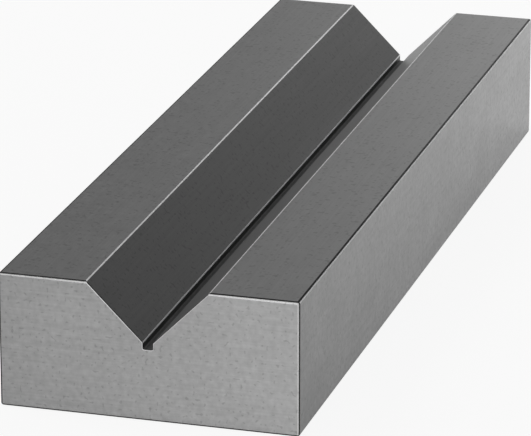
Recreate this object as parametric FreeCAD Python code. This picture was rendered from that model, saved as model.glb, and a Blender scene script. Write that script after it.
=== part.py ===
"""Long V block: one ground steel bar with a right-angled vee along the middle of its top face.

The block lies on its base with the vee running along Y and +Z up.  Its origin is the middle of the
base, and X is the direction across the vee.  All sizes are in millimetres, and angles in degrees.
"""

import FreeCAD, Part
import math
import os

# Block
block_width = 55.0          # across the vee, along X
block_height = 25.0         # base to top lands, along Z
block_length = 180.0        # along the vee, along Y

# Vee
vee_opening = 22.5          # across the top, flank to flank, before the edges are broken
vee_angle = 90.0            # between the two flanks

# Relief slot at the root of the vee, which keeps the flanks' lower edges clear of the work
relief_width = 1.8
relief_depth = 1.25         # straight walls, from the flanks' lower edges down to the floor
relief_corner_radius = 0.25  # left by the corner of the slotting cutter

# Broken edges, each measured along both of the faces that meet there
outer_edge_break = 0.5      # the four long outer edges, and both ends round the outside
vee_end_break = 0.25        # both ends, where the vee and its relief slot run out
vee_edge_break = 0.15       # lengthwise edges of the vee and of its relief slot

# Places in the section that follow from the sizes above
flank_slope = 1.0 / math.tan(math.radians(vee_angle / 2.0))
slot_top = block_height - (vee_opening - relief_width) / 2.0 * flank_slope
slot_floor = slot_top - relief_depth
near = 1e-6                 # how close two places are when they are the same


def section_corners():
    """Right half of the section as named (x, z) corners, from the base round to the slot floor."""
    return {
        "base": (block_width / 2.0, 0.0),
        "land": (block_width / 2.0, block_height),
        "vee_mouth": (vee_opening / 2.0, block_height),
        "slot_mouth": (relief_width / 2.0, slot_top),
        "slot_floor": (relief_width / 2.0, slot_floor),
    }


def at_front_end(x, z):
    """A place in the section, set in the plane of the front end."""
    return FreeCAD.Vector(x, -block_length / 2.0, z)


def drawn_along_block(points):
    """The closed outline through the points, drawn out along Y over the block's length."""
    outline = Part.makePolygon(points + points[:1])
    return Part.Face(outline).extrude(FreeCAD.Vector(0, block_length, 0))


def make_sharp_bar():
    """The bar with its vee and relief slot, with every edge still sharp."""
    corners = list(section_corners().values())
    mirrored = [(-x, z) for x, z in reversed(corners)]
    return drawn_along_block([at_front_end(x, z) for x, z in corners + mirrored])


def lengthwise_edges(bar, *names):
    """The edges along Y at the named corners of the section, on the right and on the left."""
    places = [section_corners()[name] for name in names]
    found = []
    for edge in bar.Edges:
        box = edge.BoundBox
        runs_along = box.XLength < near and box.ZLength < near
        if runs_along and any(abs(abs(box.Center.x) - x) < near and abs(box.Center.z - z) < near
                              for x, z in places):
            found.append(edge)
    return found


def end_edges(bar, of_vee):
    """The edges round both end faces: those of the vee and its slot, or all the others."""
    found = []
    for edge in bar.Edges:
        box = edge.BoundBox
        in_an_end = box.YLength < near and abs(abs(box.Center.y) - block_length / 2.0) < near
        in_vee = abs(box.Center.x) < vee_opening / 2.0 and box.Center.z > slot_floor - near
        if in_an_end and in_vee == of_vee:
            found.append(edge)
    return found


def vee_edge_cutter(before, corner, after):
    """Prism along Y that takes the sharp edge off one lengthwise corner of the vee or its slot."""
    start = before.sub(corner).normalize().multiply(vee_edge_break)
    end = after.sub(corner).normalize().multiply(vee_edge_break)
    outward = start.add(end).multiply(-1.0)
    along = end.sub(start)
    return drawn_along_block([corner.add(start).sub(along), corner.add(end).add(along), corner.add(outward)])


def break_vee_edges(bar):
    """Take the sharp edges off the vee's mouth and off the top of its relief slot."""
    place = {name: at_front_end(x, z) for name, (x, z) in section_corners().items()}
    mouth = vee_edge_cutter(place["land"], place["vee_mouth"], place["slot_mouth"])
    root = vee_edge_cutter(place["vee_mouth"], place["slot_mouth"], place["slot_floor"])
    middle, across = FreeCAD.Vector(0, 0, 0), FreeCAD.Vector(1, 0, 0)
    return bar.cut([mouth, root, mouth.mirror(middle, across), root.mirror(middle, across)])


def make_v_block():
    """The whole block: the sharp bar with its slot corners rounded and then every edge broken."""
    bar = make_sharp_bar()
    bar = bar.makeFillet(relief_corner_radius, lengthwise_edges(bar, "slot_floor"))
    outer = end_edges(bar, of_vee=False) + lengthwise_edges(bar, "base", "land")
    bar = bar.makeChamfer(outer_edge_break, outer)
    bar = bar.makeChamfer(vee_end_break, end_edges(bar, of_vee=True))
    return break_vee_edges(bar)


def main():
    os.makedirs("parts", exist_ok=True)
    v_block = make_v_block()
    print("v_block valid", v_block.isValid(), "solids", len(v_block.Solids), "faces", len(v_block.Faces))
    v_block.exportStep("parts/v_block.step")


main()
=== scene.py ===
import math

import bmesh
import bpy
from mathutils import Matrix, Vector


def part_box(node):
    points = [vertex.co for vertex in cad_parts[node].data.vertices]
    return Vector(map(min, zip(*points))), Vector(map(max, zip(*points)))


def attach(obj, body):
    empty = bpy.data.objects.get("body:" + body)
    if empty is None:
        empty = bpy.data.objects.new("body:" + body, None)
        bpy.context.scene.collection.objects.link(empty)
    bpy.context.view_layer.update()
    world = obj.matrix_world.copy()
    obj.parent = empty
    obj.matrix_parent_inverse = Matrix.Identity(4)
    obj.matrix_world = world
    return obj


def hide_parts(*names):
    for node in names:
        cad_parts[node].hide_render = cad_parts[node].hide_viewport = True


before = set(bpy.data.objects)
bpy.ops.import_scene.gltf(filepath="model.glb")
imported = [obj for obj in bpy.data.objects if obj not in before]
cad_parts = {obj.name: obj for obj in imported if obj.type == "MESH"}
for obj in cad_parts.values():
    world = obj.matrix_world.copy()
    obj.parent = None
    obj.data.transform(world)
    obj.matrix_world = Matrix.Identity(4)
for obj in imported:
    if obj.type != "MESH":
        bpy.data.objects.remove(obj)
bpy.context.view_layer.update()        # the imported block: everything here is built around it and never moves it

mm = 0.001

# what each face of the block is finished as, in the order of the mesh's material slots; the last three are
# painted highlight and painted shade on the broken edges
finishes = ["land", "flank", "side", "end", "base", "slot", "paintedHighlightBreak", "paintedShadeBreak", "veeBreak"]

block = {
    "node": "v_block",
    "veeMouth": 22.5 * mm,        # across the top, before the edges are broken
    "veeAngle": 90.0,
    "slotWidth": 1.8 * mm,
    "slotDepth": 1.25 * mm,
    "slotCorner": 0.25 * mm,
    "slotCornerSteps": 3,
    "outerBreak": 0.5 * mm,       # outer edges and the ends round the outside
    "veeEndBreak": 0.25 * mm,     # where the vee and its slot run out at the ends
    "veeBreak": 0.15 * mm,        # lengthwise edges of the vee and its slot
    "breakSteps": 6,
    "paintedShadeShare": 0.42,            # share of a broken edge that is painted shade, beside the land, flank or long side
    "plainShare": 0.14,           # share that looks like the end or side it runs into
    "facing": 0.9,                # least share of a normal along an axis for a face that points that way
    "outside": 0.9,               # share of the half width beyond which a face or edge is an outer one
    "level": 0.05,                # most that a lengthwise break leans towards an end
    "lean": 0.15,                 # least that a break leans down or left to be painted shade all over
    "hair": 0.01 * mm,            # closer than this, two places are the same
}


def pieceFrom(bm, name):
    mesh = bpy.data.meshes.new(name)
    bm.to_mesh(mesh)
    bm.free()
    piece = bpy.data.objects.new(name, mesh)
    bpy.context.collection.objects.link(piece)
    return piece


def topOfSlot(high):
    # where the flanks end and the slot's walls begin
    slope = 1.0 / math.tan(math.radians(block["veeAngle"] / 2))
    return high.z - (block["veeMouth"] - block["slotWidth"]) / 2 * slope


def drawSection(bm, low, high):
    # one flat face across the front end, sharp all round
    slotTop = topOfSlot(high)
    right = [
        (high.x, low.z),
        (high.x, high.z),
        (block["veeMouth"] / 2, high.z),
        (block["slotWidth"] / 2, slotTop),
        (block["slotWidth"] / 2, slotTop - block["slotDepth"]),
    ]
    outline = right + [(-x, z) for x, z in reversed(right)]
    corners = [bm.verts.new((x, low.y, z)) for x, z in outline]
    return bm.faces.new(corners)


def isOuter(middle, high):
    return abs(middle.x) > high.x * block["outside"]


def runsLengthwise(edge):
    one, other = (v.co for v in edge.verts)
    return abs(one.y - other.y) > block["hair"]


def nameFaces(bm, high, slotTop):
    # finish of each flat face, before any edge is broken
    for face in bm.faces:
        middle = face.calc_center_median()
        if abs(face.normal.y) > block["facing"]:
            finish = "end"
        elif abs(face.normal.x) > block["facing"] and isOuter(middle, high):
            finish = "side"
        elif face.normal.z < -block["facing"]:
            finish = "base"
        elif middle.z < slotTop:
            finish = "slot"
        elif face.normal.z > block["facing"]:
            finish = "land"
        else:
            finish = "flank"
        face.material_index = finishes.index(finish)


def roundSlotCorners(bm, slotTop):
    # the two lengthwise edges of the slot's floor
    slotMiddle = slotTop - block["slotDepth"] / 2
    corners = []
    for edge in bm.edges:
        if runsLengthwise(edge) and block["hair"] < edge.verts[0].co.z < slotMiddle:
            corners.append(edge)
    bmesh.ops.bevel(bm, geom=corners, offset=block["slotCorner"], offset_type="OFFSET", affect="EDGES",
                    segments=block["slotCornerSteps"], profile=0.5, material=-1)


def sizeOfBreak(edge, high, slotTop):
    middle = (edge.verts[0].co + edge.verts[1].co) / 2
    slotFloor = slotTop - block["slotDepth"]
    if not runsLengthwise(edge):
        inVee = abs(middle.x) < block["veeMouth"] / 2 and middle.z > slotFloor - block["hair"]
        return block["veeEndBreak"] if inVee else block["outerBreak"]
    if isOuter(middle, high):
        return block["outerBreak"]
    # the corners of the slot's floor stay as they are
    return block["veeBreak"] if middle.z > (slotTop + slotFloor) / 2 else 0.0


def weighEdges(bm, high, slotTop):
    # each edge's break as a share of the widest one, which the Bevel modifier reads
    weight = bm.edges.layers.float.new("bevel_weight_edge")
    for edge in bm.edges:
        edge[weight] = sizeOfBreak(edge, high, slotTop) / block["outerBreak"]


def makeSharpBlock():
    low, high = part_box(block["node"])
    slotTop = topOfSlot(high)
    bm = bmesh.new()
    section = drawSection(bm, low, high)
    drawn = bmesh.ops.extrude_face_region(bm, geom=[section])
    farCorners = [v for v in drawn["geom"] if isinstance(v, bmesh.types.BMVert)]
    bmesh.ops.translate(bm, verts=farCorners, vec=(0, high.y - low.y, 0))
    bmesh.ops.recalc_face_normals(bm, faces=bm.faces[:])
    nameFaces(bm, high, slotTop)
    roundSlotCorners(bm, slotTop)
    weighEdges(bm, high, slotTop)
    return pieceFrom(bm, "vBlockSkin")


def finishOrPaintedLightOfBreak(normal, middle, high, slotTop):
    # plain beside the end or side, then a painted highlight, then painted shade beside the land, flank or long
    # side
    lengthwise = abs(normal.y) < block["level"]
    # painted highlight along the lengthwise edges of the vee and its slot
    if lengthwise and not isOuter(middle, high) and middle.z > slotTop / 2:
        return "veeBreak"
    if normal.z < -block["lean"] and middle.z < slotTop / 2:
        return "paintedShadeBreak"            # painted shade all round the base
    if normal.x < -block["lean"] and middle.x < -high.x * block["outside"]:
        return "paintedShadeBreak"            # painted shade on the left corners and the left edge of the top
    # a break turns through a right angle, away from the end or side
    rightAngle = math.pi / 2
    turned = math.acos(min(1.0, abs(normal.x) if lengthwise else abs(normal.y)))
    if turned < rightAngle * block["plainShare"]:
        return "side" if lengthwise else "end"
    return "paintedHighlightBreak" if turned < rightAngle * (1 - block["paintedShadeShare"]) else "paintedShadeBreak"


def breakEdges(piece):
    # every broken edge at once, so that the corners between them mitre, then kept as plain mesh
    breaks = piece.modifiers.new("breaks", "BEVEL")
    breaks.limit_method = "WEIGHT"
    breaks.width = block["outerBreak"]
    breaks.segments = block["breakSteps"]
    breaks.profile = 0.5
    breaks.use_clamp_overlap = False
    breaks.material = finishes.index("paintedHighlightBreak")
    depsgraph = bpy.context.evaluated_depsgraph_get()
    piece.data = bpy.data.meshes.new_from_object(piece.evaluated_get(depsgraph))
    piece.modifiers.remove(breaks)

    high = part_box(block["node"])[1]
    # each broken edge's faces become the plain end or side, a painted highlight or painted shade
    for face in piece.data.polygons:
        if face.material_index == finishes.index("paintedHighlightBreak"):
            finish = finishOrPaintedLightOfBreak(face.normal, face.center, high, topOfSlot(high))
            face.material_index = finishes.index(finish)
            face.use_smooth = True
    print("block: %d faces" % len(piece.data.polygons))


# "tone" is how pale a finish is, "mottle" how strong its mottling is, "lay" the axis that its grinding
# lines follow, and "paintedShadeRamp" an axis with the shares of the tone at its low end and at its high end:
# painted shade and light, lighter towards the high end
steel = {
    "land": {"tone": 0.50, "roughness": 0.38, "mottle": 0.05, "paintedShadeRamp": ("Y", 0.98, 1.05)},
    # painted shade: the flanks are made darker than the lands, and lighter towards the far end
    "flank": {"tone": 0.35, "roughness": 0.38, "mottle": 0.04, "paintedShadeRamp": ("Y", 0.82, 1.24)},
    "side": {"tone": 0.47, "roughness": 0.36, "mottle": 0.16, "paintedShadeRamp": ("Y", 0.80, 1.10)},
    "end": {"tone": 0.50, "roughness": 0.38, "mottle": 0.11, "paintedShadeRamp": ("X", 0.91, 1.14), "lay": "X"},
    "base": {"tone": 0.50, "roughness": 0.38, "mottle": 0.08},
    # painted shade: the slot is made far darker than the lands for the shade in its narrow recess
    "slot": {"tone": 0.16, "roughness": 0.45, "mottle": 0.20},
    # painted highlight: a pale, nearly unmetallic colour on the broken edges that stands in for the glint they
    # catch
    "paintedHighlightBreak": {"tone": 0.96, "roughness": 0.34, "mottle": 0.06, "metal": 0.15},
    # painted shade: a near-black colour on the broken edges beside the highlights, round the base and on the left
    # corners
    "paintedShadeBreak": {"tone": 0.04, "roughness": 0.40, "mottle": 0.15},
    # painted highlight: a pale, nearly unmetallic colour on the vee's lengthwise edges
    "veeBreak": {"tone": 0.96, "roughness": 0.38, "mottle": 0.06, "metal": 0.25},
}
usual = {"metal": 1.0, "lay": "Y", "paintedShadeRamp": ("Y", 1.0, 1.0)}     # where a finish gives nothing else

marks = {
    "mottle": {"scale": 900.0, "detail": 3.0},      # scales are in cells per metre
    "cloud": {"scale": 90.0, "detail": 2.0},
    "line": {"scale": 2600.0, "detail": 1.0},       # across the lay
    "fleck": {"scale": 1500.0, "detail": 0.0},
    "span": (0.25, 0.75),         # part of each noise that is used, from weakest to strongest
    "cloudShare": 0.4,            # strength of the clouds, as a share of the mottling's
    "lineStretch": 0.012,         # the lines' scale along the lay, as a share of that across it
    "lineStrength": 0.05,
    "fleckEdge": (0.26, 0.32),    # where the noise is below this, the surface is a small dark fleck
    "fleckTone": 0.80,
    "roughnessChange": 0.10,      # of the roughness, up and down with the mottling
    "relief": 0.04,               # how strongly the grinding lines stand out
    "reliefDepth": 0.02 * mm,
}


def makeNoise(nodes, links, places, kind, stretch=(1, 1, 1)):
    mapping = nodes.new("ShaderNodeMapping")
    mapping.inputs["Scale"].default_value = stretch
    links.new(places.outputs["Object"], mapping.inputs["Vector"])
    noise = nodes.new("ShaderNodeTexNoise")
    noise.inputs["Scale"].default_value = marks[kind]["scale"]
    noise.inputs["Detail"].default_value = marks[kind]["detail"]
    links.new(mapping.outputs["Vector"], noise.inputs["Vector"])
    return noise.outputs["Fac"]


def toRange(nodes, links, value, source, target):
    # what lies outside the source range stays at the target's nearer end
    change = nodes.new("ShaderNodeMapRange")
    change.inputs["From Min"].default_value, change.inputs["From Max"].default_value = source
    change.inputs["To Min"].default_value, change.inputs["To Max"].default_value = target
    links.new(value, change.inputs["Value"])
    return change.outputs["Result"]


def combine(nodes, links, operation, one, other):
    result = nodes.new("ShaderNodeMath")
    result.operation = operation
    links.new(one, result.inputs[0])
    links.new(other, result.inputs[1])
    return result.outputs[0]


def around(middle, strength):
    return middle * (1 - strength), middle * (1 + strength)


def steelFinish(name, look, low, high):
    material = bpy.data.materials.new(name)
    material.use_nodes = True
    nodes, links = material.node_tree.nodes, material.node_tree.links
    shader = nodes["Principled BSDF"]
    places = nodes.new("ShaderNodeTexCoord")
    shader.inputs["Metallic"].default_value = look["metal"]

    # fine mottling over broad clouds, short grinding lines along the lay, and small dark flecks
    along = marks["lineStretch"]
    stretch = (1, along, 1) if look["lay"] == "Y" else (along, 1, 1)
    fine = makeNoise(nodes, links, places, "mottle")
    clouds = makeNoise(nodes, links, places, "cloud")
    lines = makeNoise(nodes, links, places, "line", stretch)
    flecks = makeNoise(nodes, links, places, "fleck")

    # the tone is the product of them all and of its painted ramp of shade and light along the face
    axis, start, end = look["paintedShadeRamp"]
    split = nodes.new("ShaderNodeSeparateXYZ")
    links.new(places.outputs["Object"], split.inputs[0])
    ends = (low.x, high.x) if axis == "X" else (low.y, high.y)
    cloudStrength = look["mottle"] * marks["cloudShare"]
    tone = toRange(nodes, links, fine, marks["span"], around(1, look["mottle"]))
    for value, source, target in (
        (clouds, marks["span"], around(1, cloudStrength)),
        (lines, marks["span"], around(1, marks["lineStrength"])),
        (flecks, marks["fleckEdge"], (marks["fleckTone"], 1)),
        (split.outputs[axis], ends, (start * look["tone"], end * look["tone"])),
    ):
        part = toRange(nodes, links, value, source, target)
        tone = combine(nodes, links, "MULTIPLY", tone, part)
    links.new(tone, shader.inputs["Base Color"])

    change = around(look["roughness"], marks["roughnessChange"])
    roughness = toRange(nodes, links, fine, marks["span"], change)
    links.new(roughness, shader.inputs["Roughness"])
    bump = nodes.new("ShaderNodeBump")
    bump.inputs["Strength"].default_value = marks["relief"]
    bump.inputs["Distance"].default_value = marks["reliefDepth"]
    links.new(lines, bump.inputs["Height"])
    links.new(bump.outputs["Normal"], shader.inputs["Normal"])
    return material


def dressBlock(piece):
    low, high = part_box(block["node"])
    for name in finishes:
        look = {**usual, **steel[name]}
        piece.data.materials.append(steelFinish(name, look, low, high))
    print("finishes: %d" % len(finishes))


# cameraShare is how much plain white the camera sees in the floor, and steelShare how much the steel shows
floor = {"size": 60.0, "white": 1.0, "tone": 0.8, "cameraShare": 0.9, "steelShare": 0.3}


def makeFloor():
    bm = bmesh.new()
    bmesh.ops.create_grid(bm, x_segments=1, y_segments=1, size=floor["size"] / 2)
    piece = pieceFrom(bm, "floor")

    material = bpy.data.materials.new("paleFloor")
    material.use_nodes = True
    nodes, links = material.node_tree.nodes, material.node_tree.links
    nodes.remove(nodes["Principled BSDF"])
    dull = nodes.new("ShaderNodeBsdfDiffuse")
    dull.inputs["Color"].default_value = (floor["tone"],) * 3 + (1,)
    white = nodes.new("ShaderNodeEmission")
    white.inputs["Strength"].default_value = floor["white"]
    rays = nodes.new("ShaderNodeLightPath")
    share = toRange(nodes, links, rays.outputs["Is Camera Ray"], (0, 1), (0, floor["cameraShare"]))
    for ray in ("Is Glossy Ray", "Is Transmission Ray"):
        shown = toRange(nodes, links, rays.outputs[ray], (0, 1), (0, floor["steelShare"]))
        share = combine(nodes, links, "MAXIMUM", share, shown)
    blend = nodes.new("ShaderNodeMixShader")
    links.new(share, blend.inputs["Fac"])
    links.new(dull.outputs[0], blend.inputs[1])
    links.new(white.outputs[0], blend.inputs[2])
    links.new(blend.outputs[0], nodes["Material Output"].inputs["Surface"])
    piece.data.materials.append(material)


# azimuth 0 is in front of the block and 90 on its right; distances and sizes in metres
lamps = {
    "frontSoft": {"azimuth": 0, "elevation": 17, "distance": 2.6, "size": 1.6, "power": 14},
    "leftHigh": {"azimuth": -90, "elevation": 54, "distance": 2.6, "size": 1.4, "power": 16},
    "behindLow": {"azimuth": 180, "elevation": 20, "distance": 0.9, "size": 0.4, "power": 0.16},
    "floorWash": {"azimuth": 165, "elevation": 20, "distance": 0.5, "size": 0.4, "power": 0.8},
}
unmirrored = ["floorWash"]       # lamps that don't show in the steel


def aroundBlock(azimuth, elevation, distance):
    a, e = math.radians(azimuth), math.radians(elevation)
    return Vector((math.sin(a) * math.cos(e), -math.cos(a) * math.cos(e), math.sin(e))) * distance


def makeLamps():
    for name, look in lamps.items():
        light = bpy.data.lights.new(name, "AREA")
        light.shape = "DISK"
        light.size = look["size"]
        light.energy = look["power"]
        lamp = bpy.data.objects.new(name, light)
        lamp.location = aroundBlock(look["azimuth"], look["elevation"], look["distance"])
        lamp.rotation_euler = lamp.location.to_track_quat("Z", "Y").to_euler()
        lamp.visible_camera = False
        lamp.visible_glossy = name not in unmirrored
        bpy.context.collection.objects.link(lamp)


# an even dim room, lighter overhead and in a soft patch low behind the block
room = {
    "even": 0.135,
    "patch": {"strength": 0.40, "power": 40.0, "azimuth": 187, "elevation": 3},
    "overhead": {"strength": 0.5, "power": 5.0, "azimuth": 0, "elevation": 90},
}


def makeGlow(nodes, links, places, glow, least):
    # the least all round, and more towards one direction
    facing = nodes.new("ShaderNodeVectorMath")
    facing.operation = "DOT_PRODUCT"
    facing.inputs[1].default_value = aroundBlock(glow["azimuth"], glow["elevation"], 1.0)
    links.new(places.outputs["Generated"], facing.inputs[0])
    ahead = toRange(nodes, links, facing.outputs["Value"], (0, 1), (0, 1))     # 0 all over the far half
    shaped = nodes.new("ShaderNodeMath")
    shaped.operation = "POWER"
    shaped.inputs[1].default_value = glow["power"]
    links.new(ahead, shaped.inputs[0])
    return toRange(nodes, links, shaped.outputs[0], (0, 1), (least, least + glow["strength"]))


def makeRoom():
    world = bpy.data.worlds.new("room")
    bpy.context.scene.world = world
    world.use_nodes = True
    nodes, links = world.node_tree.nodes, world.node_tree.links
    places = nodes.new("ShaderNodeTexCoord")
    patch = makeGlow(nodes, links, places, room["patch"], room["even"])
    overhead = makeGlow(nodes, links, places, room["overhead"], 0)
    total = combine(nodes, links, "ADD", patch, overhead)
    nodes["Background"].inputs["Color"].default_value = (1, 1, 1, 1)
    links.new(total, nodes["Background"].inputs["Strength"])


camera = {
    "azimuth": 16.17,
    "elevation": 19.08,
    "distance": 827.0 * mm,
    "aim": Vector((-4.7, 0.0, 7.4)) * mm,
    "lens": 288.3,                # lens and sensor in millimetres
    "sensor": 36.0,
}


def makeCamera():
    data = bpy.data.cameras.new("camera")
    data.lens = camera["lens"]
    data.sensor_width = camera["sensor"]
    piece = bpy.data.objects.new("camera", data)
    back = aroundBlock(camera["azimuth"], camera["elevation"], 1.0)
    piece.location = camera["aim"] + back * camera["distance"]
    piece.rotation_euler = back.to_track_quat("Z", "Y").to_euler()
    bpy.context.collection.objects.link(piece)
    bpy.context.scene.camera = piece


makeCamera()
print("camera done")

skin = makeSharpBlock()
dressBlock(skin)
breakEdges(skin)
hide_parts(block["node"])
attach(skin, "root")

makeFloor()
makeLamps()
makeRoom()
bpy.context.scene.view_settings.view_transform = "Standard"
print("floor, lamps and room done")
